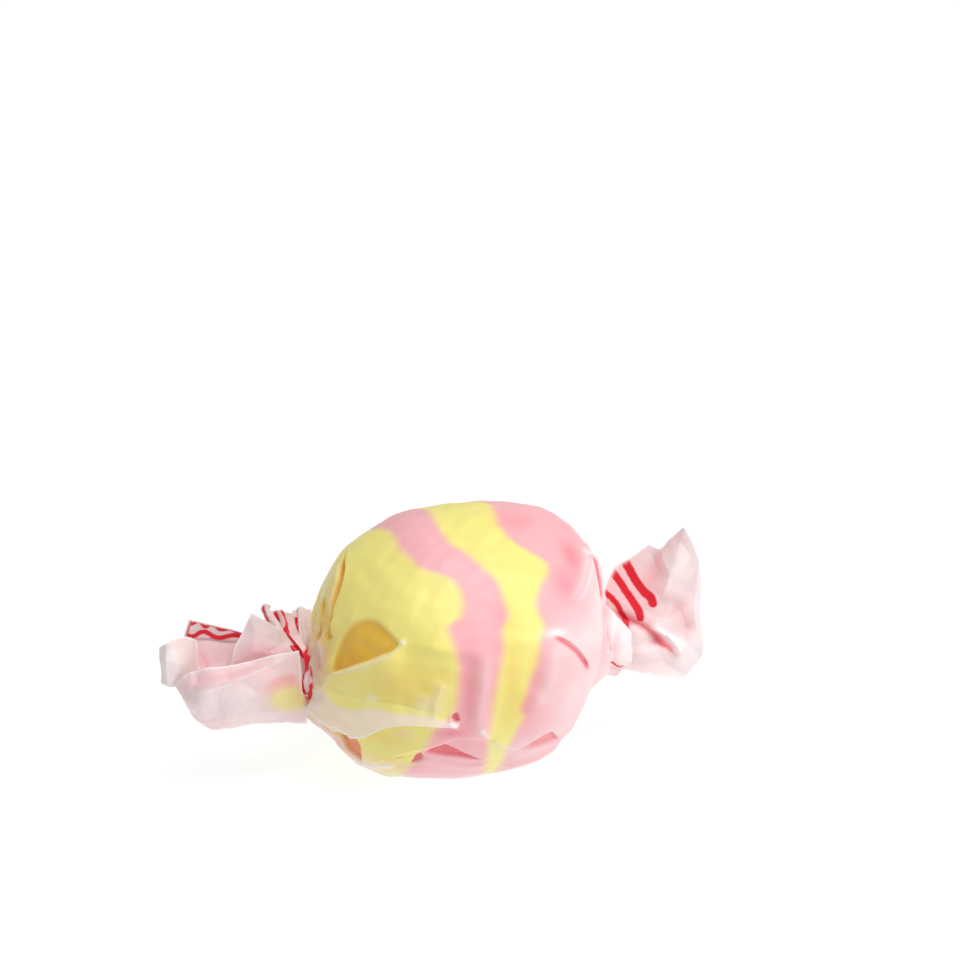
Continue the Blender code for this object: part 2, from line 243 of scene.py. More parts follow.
# Tails, as nets of corners from the inner edge to the outer one. A corner is a pixel of the photograph,
# across and down, with its place along Y in millimetres from the block's middle.
LEAVES = {
    "front_panel": (
        ((299, 650, -1.2), (301, 668, -1.6), (302, 690, -1.9), (308, 705, -1.5), (306, 722, -0.9)),
        ((275, 655, -1.6), (278, 672, -2.4), (282, 692, -2.9), (285, 710, -2.4), (285, 723, -1.4)),
        ((250, 660, -1.8), (250, 676, -2.8), (252, 696, -3.2), (254, 713, -2.6), (255, 724, -1.5)),
        ((226, 666, -1.8), (224, 682, -2.9), (224, 702, -3.1), (226, 719, -2.4), (229, 729, -1.4)),
        ((206, 668, -1.7), (203, 685, -2.7), (201, 703, -2.8), (205, 719, -2.0), (211, 729, -1.2)),
        ((190, 672, -1.3), (188, 684, -2.0), (188, 698, -2.0), (193, 711, -1.6), (198, 721, -1.0)),
        ((175, 684, -0.9), (178, 690, -1.2), (182, 698, -1.2), (187, 706, -1.0), (191, 714, -0.7)),
    ),
    "upright_flap": (
        ((228, 676, 0.2), (252, 684, -0.4), (276, 680, -0.5), (301, 668, 0.0)),
        ((234, 650, 0.8), (256, 652, 0.1), (279, 654, 0.0), (301, 650, 0.4)),
        ((243, 630, 1.3), (259, 634, 0.8), (277, 640, 0.7), (297, 641, 0.9)),
        ((251.6, 611.8, 1.6), (264, 619.5, 1.3), (278, 627.5, 1.2), (291, 636, 1.3)),
    ),
    "curl": (
        ((266, 626, 1.6), (279, 630, 1.0), (291, 637, 1.6)),
        ((263, 616, 2.0), (270, 617, 1.0), (279, 620, 2.0)),
        ((260.5, 610, 2.2), (266, 608, 1.3), (270, 610, 2.3)),
        ((263, 604.5, 2.4), (267, 602.5, 1.6), (270.5, 605, 2.5)),
    ),
    "back_strip": (
        ((204, 690, 0.2), (219, 692, 0.3), (236, 690, 0.4)),
        ((196, 662, 1.6), (215, 662, 1.7), (236, 662, 1.6)),
        ((184.4, 636, 2.3), (210, 638.5, 2.5), (243, 641, 2.2)),
        ((189.6, 618.7, 2.0), (212, 623.7, 2.3), (246, 632, 2.1)),
    ),
    "left_flap": (
        ((159.2, 647.4, -0.2), (160, 665, -0.6), (161, 683.5, -0.4)),
        ((166, 642.5, -0.7), (167, 664, -1.1), (168, 687, -0.8)),
        ((174, 638.6, -0.6), (176, 662, -0.9), (177, 686, -0.6)),
        ((187, 636.6, 0.3), (187, 656, 0.0), (188, 678, 0.0)),
        ((197, 640, 1.2), (197, 655, 1.1), (198, 672, 0.9)),
    ),
    "neck_cluster": NECK_CLUSTER,
    "neck_lobe": (
        ((300, 660, 1.2), (307, 658, 1.0), (314, 660, 1.6)),
        ((292, 628, 2.4), (303, 626, 2.0), (314, 630, 2.6)),
        ((291, 611, 3.0), (300, 605, 2.8), (311, 609, 3.2)),
    ),
    "right_fan": (
        ((598, 648, 2.0), (601, 600, 2.8), (614, 568, 3.0), (632, 557, 2.7), (649.4, 545, 2.3)),
        ((599, 650, 1.7), (612, 608, 2.0), (628, 588, 2.0), (644, 572, 1.7), (657.2, 548.8, 1.6)),
        ((600, 651, 1.3), (617, 618, 1.2), (638, 600, 0.9), (654, 580, 0.6), (663.3, 548.8, 0.9)),
        ((601, 652, 1.2), (622, 625, 0.8), (648, 606, 0.2), (670, 575, -0.6), (684.5, 527.6, -1.0)),
        ((602, 654, 1.1), (625, 632, 0.5), (655, 613, -0.3), (681, 592, -1.0), (699, 560, -1.4)),
        ((602, 656, 1.0), (628, 640, 0.3), (658, 624, -0.5), (683, 610, -1.2), (700, 590, -1.4)),
        ((603, 658, 0.9), (630, 648, 0.3), (660, 637, -0.1), (684, 628, -0.8), (700.2, 616.6, -1.1)),
        ((603, 660, 0.7), (630, 655, -0.1), (660, 650, -0.8), (685, 646, -1.3), (703.9, 634, -1.2)),
        ((602, 662, 0.6), (628, 662, 0.1), (655, 661, -0.3), (680, 661, -0.9), (702, 655, -1.2)),
        ((601, 664, 0.7), (622, 669, 0.1), (645, 673, -0.3), (665, 677, -0.7), (684, 680, -0.8)),
    ),
    "right_flap": (
        ((604, 604, 0.9), (612, 612, 0.4), (621, 622, 0.1), (631, 633, -0.1)),
        ((601, 628, 0.6), (611, 634, -0.3), (621, 640, -0.6), (631, 648, -0.6)),
        ((597, 645, 0.6), (608, 653, -0.6), (619, 658, -0.9), (630, 661, -0.7)),
        ((592, 656, 0.5), (604, 664, -0.5), (615, 666, -0.7), (624, 664, -0.5)),
    ),
}

# Folds on the leaves, with paths as shares (u, v) from the net's first row and first column
LEAF_FOLDS = {
    "front_panel": (
        Fold(((0.02, 0.04), (0.17, 0.12), (0.33, 0.22), (0.5, 0.3), (0.67, 0.36), (0.86, 0.48)),
             (0.25, 0.7), (0.25, 0.5), white=(0.35, 0.1), crisp=1.1),
        Fold(((0.1, 0.0), (0.35, 0.1), (0.7, 0.16), (0.95, 0.2)),
             (-0.12, 0.6), (-0.12, 0.6), deep=(0.26, 1.0)),
        Fold(((0.22, 0.44), (0.14, 0.36), (0.04, 0.4)), deep=(0.5, 0.45)),
        Fold(((0.7, 0.95), (0.8, 0.6), (0.95, 0.3)), (0.1, 0.5), (0.1, 0.7)),
    ),
    "upright_flap": (
        Fold(((0.0, 0.3), (0.4, 0.55), (0.75, 0.95)), (0.12, 0.5), (0.12, 0.5)),
        Fold(((0.1, 0.0), (0.3, 0.3), (0.35, 0.9)), (-0.1, 0.8), (-0.1, 0.8), deep=(0.3, 1.0)),
    ),
    "back_strip": (
        Fold(((0.66, 0.0), (0.67, 0.5), (0.66, 1.0)), (0.2, 0.3), (-0.1, 0.4), deep=(0.15, 0.5)),
        Fold(((0.2, 0.25), (0.5, 0.2), (0.64, 0.3)), (0.1, 0.4), (0.1, 0.4)),
    ),
    "left_flap": (
        Fold(((0.35, 0.05), (0.32, 0.5), (0.34, 0.95)), (0.1, 0.6), (0.1, 0.5), white=(0.2, 0.7)),
    ),
    "right_fan": (
        Fold(((0.22, 1.0), (0.27, 0.86), (0.333, 0.74), (0.37, 0.6)),
             (0.4, 0.9), (0.3, 0.5), white=(0.1, 0.3), crisp=1.1),
        Fold(((0.08, 0.22), (0.3, 0.3), (0.5, 0.38), (0.7, 0.5), (0.87, 0.7)),
             (-0.5, 0.4), (-0.6, 0.45), deep=(1.2, 0.35)),
        Fold(((0.5, 0.42), (0.68, 0.57), (0.84, 0.74)), (0.35, 0.35), (0.35, 0.4), white=(0.3, 0.25)),
        Fold(((0.45, 0.62), (0.6, 0.75), (0.72, 0.8)), (-0.15, 0.5), (-0.2, 0.8), deep=(0.25, 0.7)),
        Fold(((0.45, 0.98), (0.6, 0.9), (0.8, 0.95)), (0.12, 0.5), (0.12, 0.5)),
        Fold(((0.75, 0.2), (0.85, 0.5), (0.9, 0.85)), (0.12, 0.5), (0.12, 0.7)),
    ),
    "right_flap": (
        Fold(((0.1, 0.1), (0.4, 0.35), (0.9, 0.45)), (0.15, 0.4), (0.15, 0.5)),
    ),
}

# Tinted places on the leaves as (u, v, spread of u, spread of v, strength, share of pink)
LEAF_SPOTS = {
    "front_panel": (
        (0.13, 0.43, 0.12, 0.1, 1.0, 1.0), (0.1, 0.62, 0.13, 0.15, 1.1, 0.0),
        (0.6, 0.85, 0.12, 0.15, 0.2, 1.0), (0.5, 0.15, 0.5, 0.16, 0.24, 1.0),
    ),
    "upright_flap": ((0.15, 0.35, 0.3, 0.35, 0.35, 1.0),),
    "back_strip": ((0.3, 0.15, 0.25, 0.25, 0.4, 1.0), (0.35, 0.6, 0.3, 0.6, 0.3, 1.0)),
    "neck_cluster": ((0.7, 0.5, 0.4, 0.6, 0.25, 1.0),),
    "right_fan": (
        (0.19, 0.84, 0.07, 0.16, 0.4, 1.0), (0.15, 0.4, 0.25, 0.35, 0.25, 1.0),
        (0.55, 0.72, 0.1, 0.12, 0.15, 1.0),
    ),
}

# Painted grey shade on each leaf
LEAF_PAINTED_GREY_SHADES = {
    "front_panel": 0.28, "upright_flap": 0.28, "curl": 0.1, "back_strip": 0.25, "left_flap": 0.24,
    "neck_cluster": 0.2, "neck_lobe": 0.15, "right_flap": 0.18,
}

# Ridges that run along the leaves' rows, as how many and how high
LEAF_PLEATS = {"neck_cluster": (3, 0.4), "neck_lobe": (3, 0.35), "right_flap": (2, 0.14), "curl": (1, 0.1)}


# Printed waves as (start, end, swings, height, width)
LEAF_STROKES = {
    "back_strip": (
        ((0.74, 0.0), (0.8, 1.0), 4, 0.06, 0.42),
        ((0.98, 0.0), (0.98, 1.0), 7, 0.05, 0.3),
        ((0.72, 0.02), (0.98, 0.02), 1, 0.02, 0.3),
        ((0.12, 0.2), (0.14, 0.55), 1, 0.02, 0.35),
    ),
    "neck_cluster": (
        ((0.0, 0.2), (1.0, 0.45), 5, 0.08, 0.55),
        ((0.0, 0.75), (0.95, 0.85), 6, 0.08, 0.5),
        ((0.45, 0.05), (0.97, 0.15), 3, 0.06, 0.32),
    ),
    "curl": (((0.1, 0.05), (0.75, 0.14), 1, 0.03, 0.42),),
    "right_fan": (
        ((0.0, 0.64), (0.36, 0.53), 1, 0.02, 0.75),
        ((0.0, 0.47), (0.4, 0.39), 1, 0.02, 0.65),
        ((0.0, 0.31), (0.48, 0.24), 1, 0.02, 0.5),
        ((0.0, 0.18), (0.5, 0.13), 1, 0.015, 0.4),
    ),
    "right_flap": (
        ((0.85, 0.0), (0.93, 0.85), 4, 0.02, 0.17),
    ),
}
BODY_STROKES = (
    ((-84, -10), (-82, 110), 5, 1.5, 0.4),
    ((-87.5, 20), (-87, 140), 4, 1.0, 0.35),
    ((84, 25), (83, 80), 2, 1.5, 0.35),
)

# Mesh and sample counts
BODY_ROUND = 600
BODY_RINGS = 360
TAFFY_ROUND = 160
TAFFY_RINGS = 120
NECK_RINGS = 28
LAP_STEPS = (240, 70)
LEAF_STEP = 0.08
LEAF_LEAST_STEPS = 12
PATH_STEPS = 50
OUTLINE_STEPS = 40
STROKE_STEPS = 120
SWING_STEPS = 8
EDGE_STEPS = 721

# Random fields, some as (strength, size, seed) or (strength, size)
RIPPLE_RATES = (0.6, 1.3)
CREASE_LIMIT = 1.5
BODY_RIPPLES = ((0.05, 5.0, 3), (0.03, 1.6, 4))
BAND_WOBBLE = (0.1, 3.5, 11)
LAP_RIPPLE = (0.05, 3.0, 8)
LAP_CHANGE_RIPPLE = (0.04, 2.5, 9)
LEAF_CREASES = ((0.2, 4.5), (0.06, 1.8))
LEAF_PLEAT_SWAY = (0.8, 4.0)
LEAF_WHITE_RIPPLE = (0.08, 4.0)
LEAF_SEED = 20

# Fades at the ends of folds, their reach in widths, their spine, and the reach of pockets
FOLD_FADE = 0.2
FOLD_REACH = 4
FOLD_SPINE = 0.07
POCKET_REACH = 3.0

# Milky paper near the necks, from one turn on and over some more degrees, and how much painted shade
# takes from the milky look
NECK_PALE_FROM = 66
NECK_PALE_OVER = 20
NECK_PALE = 0.5
PLEAT_PALE = 0.4
SHADE_UNPALES = 0.5

# Laps: depth of the root, powers of the lift's curves, shares over which the colours change, how much
# milky look and painted shade they lose near the joined edge, and the rows of the painted rim highlight
LAP_ROOT = 0.08
LAP_END = 0.01
LAP_END_POWER = 0.4
LAP_LIFT_POWER = 1.4
LAP_CHANGE = 0.16
LAP_CLEAN = 0.3
LAP_LESS_WHITE = 0.5
LAP_LESS_PAINTED_SHADE = 0.8
LAP_PINK = 0.5
RIM_HIGHLIGHT_ROWS = 2.0

# Leaves: softness of the nets, height, milkiness, painted shade in folds, tints, painted highlights along the
# rims and print
LEAF_SOFTNESS = 0.6
LEAF_SINK = 0.12
LEAF_WHITE = 0.84
LEAF_PAINTED_SHADE = 0.4
SPOT_FLATNESS = 1.4
SPOT_TINT = 1.6
LEAF_RIM_HIGHLIGHT_WIDTH = 0.13
LEAF_RIM_HIGHLIGHT_STRENGTH = {"right_flap": 0.2}
LEAF_RIM_HIGHLIGHT_USUAL = 0.9
PRINT_BLUR = 0.12
PRINT_MARGIN = 1.0
SHEET_WALL = 0.06

# Colours
YELLOW = (0.97, 0.85, 0.23, 1.0)
PINK = (1.0, 0.47, 0.50, 1.0)
# Painted warm shade: the taffy's colours as they look in shade
PAINTED_SHADE_YELLOW = (0.86, 0.48, 0.0, 1.0)
PAINTED_SHADE_PINK = (0.86, 0.16, 0.20, 1.0)
# Milky paper where it stands off the taffy, also used for painted highlights
MILKY_AND_HIGHLIGHT = (0.96, 0.87, 0.86, 1.0)
PRINT_RED = (0.78, 0.012, 0.03, 1.0)
# Painted highlight along the paper's rims
RIM_HIGHLIGHT_WHITE = (0.97, 0.95, 0.95, 1.0)
# Painted grey shade
PAINTED_SHADE_MAUVE = (0.66, 0.50, 0.53, 1.0)
WHITE = (1.0, 1.0, 1.0, 1.0)
FLOOR_GREY = (0.25, 0.25, 0.25, 1.0)

# Fine detail of the materials, with noise in features per metre and bumps as (noise, height)
MOTTLE_NOISE = 900.0
MOTTLE_SHARE = 0.07
PAPER_NOISE = 500.0
PAPER_ROUGHNESS = (0.36, 0.5)
WRINKLES = (700.0, 0.05)
GRAIN = (5000.0, 0.006)
TAFFY_NOISE = 400.0
TAFFY_ROUGHNESS = (0.4, 0.6)
TAFFY_BUMPS = (600.0, 0.1)
CLINGING_SOFTNESS = 0.25
TAFFY_SOFTNESS = 0.3
PAPER_GLOW = 0.8
TAFFY_GLOW = 1.5
GLOW_COLOURS = (1.0, 0.6, 0.45)

# Camera, from where the block's middle is in the picture
VIEW_AZIMUTH = math.radians(-15)
VIEW_ELEVATION = math.radians(22)
VIEW_DISTANCE = 400.0
PIXELS_PER_MM = 12.1
IMAGE_SIZE = 960
MIDDLE_PIXEL = (457, 640)
SENSOR = 36.0

# Surroundings, whose brightness fades between two heights of the direction, and lights as (place, size,
# power) in metres and watts
WORLD_ABOVE = 0.41
WORLD_BELOW = 1.35
WORLD_FADE = (-0.9, 0.1)
LIGHTS = {
    "key": ((0.08, -0.16, 0.46), 0.26, 1.3),
    "side": ((0.34, -0.24, 0.08), 0.26, 0.85),
}
FLOOR_REACH = 3.0
FLOOR_DROP = 0.0002
FLOOR_GLOW = 0.84


def ease(value):
    """Smooth step from 0 to 1."""
    value = np.clip(value, 0.0, 1.0)
    return value * value * (3 - 2 * value)


def bell(value):
    """Soft bump that is 1 at zero."""
    return np.exp(-value * value)


def outward(angle):
    """Unit vectors across the X axis."""
    return np.stack((np.zeros_like(angle), -np.cos(angle), np.sin(angle)), axis=-1)


def angle_between(first, second):
    """Signed difference of angles in radians, from -pi to pi."""
    return (first - second + math.pi) % (2 * math.pi) - math.pi


def view_directions():
    """Unit vectors of the camera's view: back towards it, to its right and up."""
    level = math.cos(VIEW_ELEVATION)
    sine, cosine = math.sin(VIEW_AZIMUTH), math.cos(VIEW_AZIMUTH)
    back = np.array((sine * level, -cosine * level, math.sin(VIEW_ELEVATION)))
    right = np.array((cosine, sine, 0.0))
    return back, right, np.cross(back, right)


def photo_point(across, down, along_y):
    """Point that a pixel of the photograph shows, from its place along Y."""
    back, right, up = view_directions()
    aside = (across - MIDDLE_PIXEL[0]) / PIXELS_PER_MM
    above = (MIDDLE_PIXEL[1] - down) / PIXELS_PER_MM
    camera = back * VIEW_DISTANCE
    ray = right * aside + up * above - camera
    return camera + ray * (along_y - camera[1]) / ray[1]


def section_radius(angle):
    """Radius of the rounded square section, whose corner points along CORNER_ANGLE."""
    turned = angle - CORNER_ANGLE + math.pi / 4
    total = np.abs(np.cos(turned)) ** SECTION_POWER + np.abs(np.sin(turned)) ** SECTION_POWER
    return CORNER_RADIUS * 2 ** (1 / SECTION_POWER - 0.5) * total ** (-1 / SECTION_POWER)


def end_form(side, angle):
    """Half length and squareness of the ends, blended from the lower to the upper outline."""
    share = 0.5 + 0.5 * np.cos(angle - UPPER_OUTLINE)
    forms = []
    for end in (-1, 1):
        pairs = zip(END_FORMS[end]["lower"], END_FORMS[end]["upper"])
        forms.append([lower * (1 - share) + upper * share for lower, upper in pairs])
    return [np.where(side < 0, left, right) for left, right in zip(*forms)]


def block_surface(turn, angle, inset=0.0):
    """Points of the bare block."""
    side = np.where(turn < 0, -1.0, 1.0)
    half_length, power = end_form(side, angle)
    level = np.abs(np.cos(turn))
    reach = np.abs(np.sin(turn))
    stretch = (level ** power + reach ** power) ** (-1 / power)
    points = outward(angle) * ((section_radius(angle) - inset) * stretch * level)[..., None]
    points[..., 0] = side * (half_length - inset) * stretch * reach
    return points


def nearer_neck(turn):
    """Centre of the neck on the same side as each place."""
    return np.where((turn < 0)[..., None], NECK_CENTRES[-1], NECK_CENTRES[1])


def skin_surface(turn, angle):
    """Points of the paper before its folds, drawn in to the necks."""
    neck = nearer_neck(turn)
    gather = ease((np.abs(turn) - GATHER_FROM) / (math.pi / 2 - GATHER_FROM))
    points = block_surface(turn, angle)
    radius = np.hypot(np.linalg.norm(points[..., 1:], axis=-1), NECK_RADIUS * gather)
    drawn = outward(angle) * radius[..., None] + neck * gather[..., None]
    drawn[..., 0] = points[..., 0] * (1 - gather ** 3) + neck[..., 0] * gather ** 3
    return drawn


def grid_normals(points, wraps):
    """Unit normals of a grid of points, by differences along its two directions."""
    along = np.gradient(points, axis=0)
    if wraps:
        around = (np.roll(points, -1, axis=1) - np.roll(points, 1, axis=1)) / 2
    else:
        around = np.gradient(points, axis=1)
    normals = np.cross(along, around)
    return normals / np.maximum(np.linalg.norm(normals, axis=-1, keepdims=True), 1e-9)


def smooth_path(places, count):
    """Evenly spread samples of a Catmull-Rom curve through places."""
    places = np.array(places, float)
    padded = np.vstack((2 * places[0] - places[1], places, 2 * places[-1] - places[-2]))
    where = np.linspace(0, len(places) - 1, count)
    first = np.minimum(where.astype(int), len(places) - 2)
    s = (where - first)[:, None]
    a, b, c, d = (padded[first + i] for i in range(4))
    curve = 2 * b + (c - a) * s + (2 * a - 5 * b + 4 * c - d) * s ** 2
    return 0.5 * (curve + (3 * b - a - 3 * c + d) * s ** 3)


def line_field(points, normals, line, reach):
    """Distance to a line, its sign on the left of the line, and the place along it from 0 to 1."""
    shape = points.shape[:-1]
    flat = points.reshape(-1, 3)
    flat_normals = normals.reshape(-1, 3)
    near = np.all((flat > line.min(axis=0) - reach) & (flat < line.max(axis=0) + reach), axis=1)
    some, some_normals = flat[near], flat_normals[near]
    best = np.full(len(some), reach * 2.0)
    sign = np.ones(len(some))
    place = np.zeros(len(some))
    lengths = np.linalg.norm(np.diff(line, axis=0), axis=1)
    starts = np.concatenate(([0.0], np.cumsum(lengths)))
    for index, (start, end) in enumerate(zip(line, line[1:])):
        step = end - start
        share = np.clip((some - start) @ step / max(step @ step, 1e-9), 0, 1)
        offset = some - start - share[:, None] * step
        distance = np.linalg.norm(offset, axis=1)
        closer = distance < best
        best = np.where(closer, distance, best)
        left = np.einsum("ij,ij->i", np.cross(some_normals, step), offset)
        sign = np.where(closer, np.sign(left), sign)
        place = np.where(closer, (starts[index] + share * lengths[index]) / starts[-1], place)
    fields = []
    for values, elsewhere in ((best, reach * 2.0), (sign, 1.0), (place, 0.0)):
        field = np.full(len(flat), elsewhere)
        field[near] = values
        fields.append(field.reshape(shape))
    return fields


def fold_relief(points, normals, fold, line):
    """Height, milky look with painted highlights, and painted shade that one fold gives to a sheet."""
    widths = [part[1] for part in (fold.left, fold.right, fold.white, fold.deep)]
    distance, sign, place = line_field(points, normals, line, FOLD_REACH * max(widths))
    fade = ease(np.minimum(place, 1 - place) / FOLD_FADE)
    side = 0.5 + 0.5 * np.tanh(sign * distance / FOLD_SPINE)
    left = fold.left[0] * np.exp(-(distance / fold.left[1]) ** fold.crisp)
    right = fold.right[0] * np.exp(-(distance / fold.right[1]) ** fold.crisp)
    height = fade * (left * side + right * (1 - side))
    white = fade * fold.white[0] * bell(distance / fold.white[1])
    deep = fade * fold.deep[0] * bell(distance / fold.deep[1])
    return height, white, deep


def ripple(points, size, seed, waves=14):
    """Smooth random field of about -1 to 1 with bumps of one size in millimetres."""
    rng = np.random.default_rng(seed)
    directions = rng.normal(size=(waves, 3))
    directions /= np.linalg.norm(directions, axis=1, keepdims=True)
    rates = 2 * math.pi / size * rng.uniform(*RIPPLE_RATES, waves)
    phases = rng.uniform(0, 2 * math.pi, waves)
    total = np.zeros(points.shape[:-1])
    for direction, rate, phase in zip(directions, rates, phases):
        total += np.cos(points @ direction * rate + phase)
    return total / math.sqrt(waves)


def creases(points, size, seed):
    """Random field of about 0 to 1 with sharp valleys, like paper that was crumpled and opened."""
    return np.minimum(np.abs(ripple(points, size, seed)), CREASE_LIMIT) / CREASE_LIMIT


def edge_turn(edge, angle):
    """Turn of a colour edge, in radians, at each angle round the block."""
    table = np.array(edge, float)
    first = table[0, 0]
    steps = np.linspace(first, table[-1, 0], EDGE_STEPS)
    straight = np.interp(steps, table[:, 0], table[:, 1])
    window = np.hanning(EDGE_SMOOTHING) / np.hanning(EDGE_SMOOTHING).sum()
    padded = np.pad(straight, EDGE_SMOOTHING // 2, mode="edge")
    smooth = np.convolve(padded, window, mode="valid")
    degrees = (np.degrees(angle) - first) % 360 + first
    return np.radians(np.interp(degrees, steps, smooth))


def pink_share(turn, angle):
    """Share of pink in the taffy, from 0 in the yellow bands to 1 in the pink ones."""
    wobble = BAND_WOBBLE[0] * ripple(block_surface(turn, angle), *BAND_WOBBLE[1:])
    share = np.zeros_like(turn)
    for edge, sign in ((FIRST_EDGE, 1), (SECOND_EDGE, -1), (THIRD_EDGE, 1)):
        ahead = (turn - edge_turn(edge, angle)) * BLOCK_RADIUS + wobble
        share += sign * ease(0.5 + ahead / (2 * BAND_BLUR))
    return np.clip(share, 0, 1)


def spot_sum(turn, angle, spots):
    """Sum of soft spots given as (turn, angle, spread along, spread round, strength)."""
    total = np.zeros_like(turn)
    for spot_turn, spot_angle, along, around, strength in spots:
        first = (np.degrees(turn) - spot_turn) / along
        second = np.degrees(angle_between(angle, math.radians(spot_angle))) / around
        total += strength * np.exp(-first ** 2 - second ** 2)
    return total


def inside_outline(turn, angle, outline):
    """Which places lie inside a closed outline of places."""
    across = np.degrees(turn)
    around = np.degrees(angle_between(angle, 0.0))
    inside = np.zeros(turn.shape, bool)
    for (x1, y1), (x2, y2) in zip(outline, np.roll(outline, -1, axis=0)):
        crosses = (y1 > around) != (y2 > around)
        inside ^= crosses & (across < x1 + (around - y1) * (x2 - x1) / (y2 - y1 + 1e-12))
    return inside


def pocket_relief(turn, angle, points, normals, pocket):
    """How far the paper sinks into a pocket, from 0 at its edges to 1."""
    rim, ridge = (smooth_path(line, OUTLINE_STEPS) for line in (pocket.rim, pocket.ridge))
    outline = np.vstack((rim, ridge[::-1]))
    to_rim = line_field(points, normals, skin_line(pocket.rim), POCKET_REACH)[0]
    to_ridge = line_field(points, normals, skin_line(pocket.ridge), POCKET_REACH)[0]
    depth = ease(to_rim / pocket.slopes[0]) * ease(to_ridge / pocket.slopes[1])
    return np.where(inside_outline(turn, angle, outline), depth, 0.0)


def skin_line(path, count=PATH_STEPS):
    """A path of places on the block as points on the paper."""
    smooth = np.radians(smooth_path(path, count))
    return skin_surface(smooth[:, 0], smooth[:, 1])


def pleat_relief(turn, angle, radius):
    """Height of the pleats that run from the necks onto the block."""
    rng = np.random.default_rng(PLEAT_SEED)
    height = np.zeros_like(turn)
    for side in (-1, 1):
        for number in range(PLEATS):
            middle = 2 * math.pi * (number + rng.uniform(-PLEAT_SHIFT, PLEAT_SHIFT)) / PLEATS
            start = math.radians(rng.uniform(*PLEAT_STARTS))
            swirl = rng.uniform(*PLEAT_SWIRLS)
            crest = rng.uniform(*PLEAT_HEIGHTS)
            width = rng.uniform(*PLEAT_WIDTHS)
            at = np.maximum(side * turn - start, 0.0)
            off = angle_between(angle, middle + swirl * at) * radius
            grows = ease(at / PLEAT_GROWTH) * np.clip(radius / PLEAT_FULL_RADIUS, PLEAT_LEAST, 1.0)
            height += crest * grows * np.exp(-(np.abs(off) / width) ** PLEAT_CRISP)
    return height


def block_grid(rings, count):
    """Turns and angles of a grid from the left neck to the right one, all the way round."""
    turns = np.linspace(-math.pi / 2, math.pi / 2, rings)
    angles = np.arange(count) * 2 * math.pi / count
    return np.meshgrid(turns, angles, indexing="ij")


def body_sheet():
    """Points, outward normals and colour masks of the paper round the block."""
    turn, angle = block_grid(BODY_RINGS, BODY_ROUND)
    base = skin_surface(turn, angle)
    normals = grid_normals(base, wraps=True)
    height = np.zeros_like(turn)
    # Milky look with painted highlights and painted light, and painted warm shade
    white = spot_sum(turn, angle, PALE_AND_HIGHLIGHT_SPOTS)
    deep = spot_sum(turn, angle, PAINTED_SHADE_SPOTS)
    for fold in BODY_FOLDS:
        change = fold_relief(base, normals, fold, skin_line(fold.path))
        height += change[0]
        white += change[1] - SHADE_UNPALES * change[2]
        deep += change[2]
    pink = np.clip(pink_share(turn, angle) + spot_sum(turn, angle, PINK_SPOTS), 0, 1)
    for pocket in POCKETS:
        sunk = pocket_relief(turn, angle, base, normals, pocket)
        height -= pocket.depth * sunk
        deep += pocket.shade * sunk
        white *= 1 - sunk
        if pocket.pink is not None:
            pink += (pocket.pink - pink) * sunk
    radius = np.linalg.norm((base - nearer_neck(turn))[..., 1:], axis=-1)
    pleats = pleat_relief(turn, angle, radius)
    height += pleats
    near_neck = ease((np.abs(np.degrees(turn)) - NECK_PALE_FROM) / NECK_PALE_OVER)
    white += PLEAT_PALE * pleats * near_neck + NECK_PALE * near_neck
    height += sum(tall * ripple(base, size, seed) for tall, size, seed in BODY_RIPPLES)
    points = base + normals * height[..., None]
    points[..., 2] = np.maximum(points[..., 2], -REST_DEPTH)
    # The last mask is painted grey shade near the left neck
    masks = {"pink": pink, "white": white, "deep": deep, "print": body_print(base, normals),
             "rim": np.zeros_like(turn), "painted_grey_shade": spot_sum(turn, angle, PAINTED_GREY_SHADE_SPOTS)}
    return points, normals, masks


def with_necks(body):
    """Points and masks of the body's sheet with both necks."""
    points, masks = body[0], body[2]
    for side in (-1, 1):
        points, masks = with_neck(points, masks, side)
    return points, masks


def with_neck(points, masks, side):
    """Adds the rings of one neck to the body's sheet."""
    edge = points[0] if side < 0 else points[-1]
    shares = np.linspace(0, 1, NECK_RINGS + 1)[1:]
    if side < 0:
        shares = shares[::-1]
    centre = np.array(NECK_CENTRES[side])
    shares = shares[:, None, None]
    closing = ease((shares - NECK_CLOSES_FROM) / (1 - NECK_CLOSES_FROM))
    flare = (1 + NECK_FLARE * shares ** 2) * (1 - NECK_SHUTS * closing)
    reach = np.array((side * NECK_REACH, 0, 0)) * (shares - NECK_PUCKER * closing)
    rings = centre + (edge - centre) * flare + reach
    joined = (rings, points) if side < 0 else (points, rings)
    grown = {}
    for name, values in masks.items():
        row = values[0] if side < 0 else values[-1]
        rows = np.repeat(row[None], NECK_RINGS, axis=0)
        grown[name] = np.vstack((rows, values) if side < 0 else (values, rows))
    return np.vstack(joined), grown


def even_path(places, count):
    """Samples of a smooth path at equal steps along it."""
    fine = smooth_path(places, 20 * len(places))
    travelled = np.concatenate(([0.0], np.cumsum(np.linalg.norm(np.diff(fine, axis=0), axis=1))))
    steps = np.linspace(0, travelled[-1], count)
    return np.stack([np.interp(steps, travelled, fine[:, axis]) for axis in (0, 1)], axis=1)


def on_body(values, turn, angle):
    """Values of the body's grid at places between its points."""
    row = (turn / math.pi + 0.5) * (BODY_RINGS - 1)
    column = angle / (2 * math.pi) * BODY_ROUND
    top = np.clip(np.floor(row).astype(int), 0, BODY_RINGS - 2)
    left = np.floor(column).astype(int)
    shape = row.shape + (1,) * (values.ndim - 2)
    down = (row - top).reshape(shape)
    across = (column - left).reshape(shape)
    left, right = left % BODY_ROUND, (left + 1) % BODY_ROUND
    upper = values[top, left] * (1 - across) + values[top, right] * across
    lower = values[top + 1, left] * (1 - across) + values[top + 1, right] * across
    return upper * (1 - down) + lower * down


